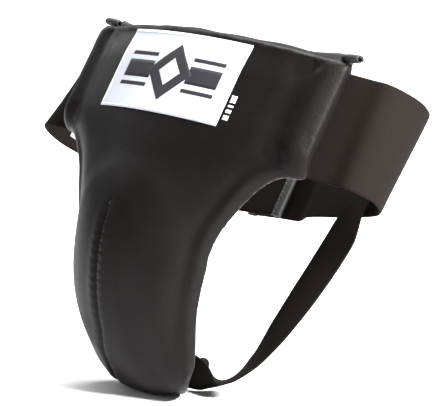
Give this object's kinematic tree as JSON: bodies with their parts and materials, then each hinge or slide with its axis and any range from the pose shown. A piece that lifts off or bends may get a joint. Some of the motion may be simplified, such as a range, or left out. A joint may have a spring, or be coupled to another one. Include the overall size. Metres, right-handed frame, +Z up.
{
  "type": "groin protector",
  "caption": "Padded groin protector with a hard cup inside a curved front guard, an elastic waist belt closing at the back with hook and loop, and elastic leg straps.",
  "frame": {"origin": "middle of the floor under the part, as it stands on its folded tip", "axes": "+Z up, -Y the way the guard's front faces, +X the wearer's left; the waist belt's axis leans back 32 degrees from +Z towards +Y"},
  "size_m": [0.396, 0.2388, 0.2675],
  "materials": {
    "cover_leather": "fine grained black synthetic leather, satin",
    "pad_foam": "grey closed cell foam",
    "cup_plastic": "moulded shell, pale",
    "lining_cloth": "black brushed lining and hem tape",
    "elastic_web": "black woven elastic",
    "hook_and_loop": "black hook and loop pile",
    "white_cloth": "white woven label cloth"
  },
  "bodies": {
    "front_guard": {"front_cover": "cover_leather", "impact_foam": "pad_foam", "groin_cup": "cup_plastic", "surround_foam": "pad_foam", "body_foam": "pad_foam", "inner_lining": "lining_cloth", "top_hem": "lining_cloth", "corner_tab_right": "lining_cloth", "corner_tab_left": "lining_cloth", "badge_patch": "white_cloth", "care_label": "white_cloth", "crotch_tab": "elastic_web"},
    "belt_right_half": {"belt_right": "elastic_web", "hook_patch": "hook_and_loop", "end_binding_right": "lining_cloth"},
    "belt_left_half": {"belt_left": "elastic_web", "loop_patch": "hook_and_loop", "end_binding_left": "lining_cloth"},
    "strap_right": {"leg_strap_right": "elastic_web"},
    "strap_left": {"leg_strap_left": "elastic_web"}
  },
  "joints": [
    {"name": "belt_right_swing", "type": "hinge", "parent": "front_guard", "child": "belt_right_half", "pos_m": [0.16184, -0.02011, 0.21043], "axis": [0, -0.5299, -0.848], "range_deg": [0, 45], "stiffness_Nm_per_rad": 0.3},
    {"name": "belt_left_swing", "type": "hinge", "parent": "front_guard", "child": "belt_left_half", "pos_m": [-0.12416, -0.02011, 0.21043], "axis": [0, 0.5299, 0.848], "range_deg": [0, 45]},
    {"name": "strap_right_swing", "type": "hinge", "parent": "front_guard", "child": "strap_right", "pos_m": [0.03284, -0.05571, 0.01759], "axis": [-0.1452, 0.9167, -0.3723], "range_deg": [0, 11]},
    {"name": "strap_left_swing", "type": "hinge", "parent": "front_guard", "child": "strap_left", "pos_m": [0.00484, -0.05571, 0.01759], "axis": [0.242, -0.5701, 0.7851], "range_deg": [0, 15.7]}
  ],
  "couplings": [
    {"joint": "belt_left_swing", "follows": "belt_right_swing", "ratio": 1},
    {"joint": "strap_right_swing", "follows": "belt_right_swing", "ratio": 0.243},
    {"joint": "strap_left_swing", "follows": "belt_right_swing", "ratio": 0.3463}
  ]
}
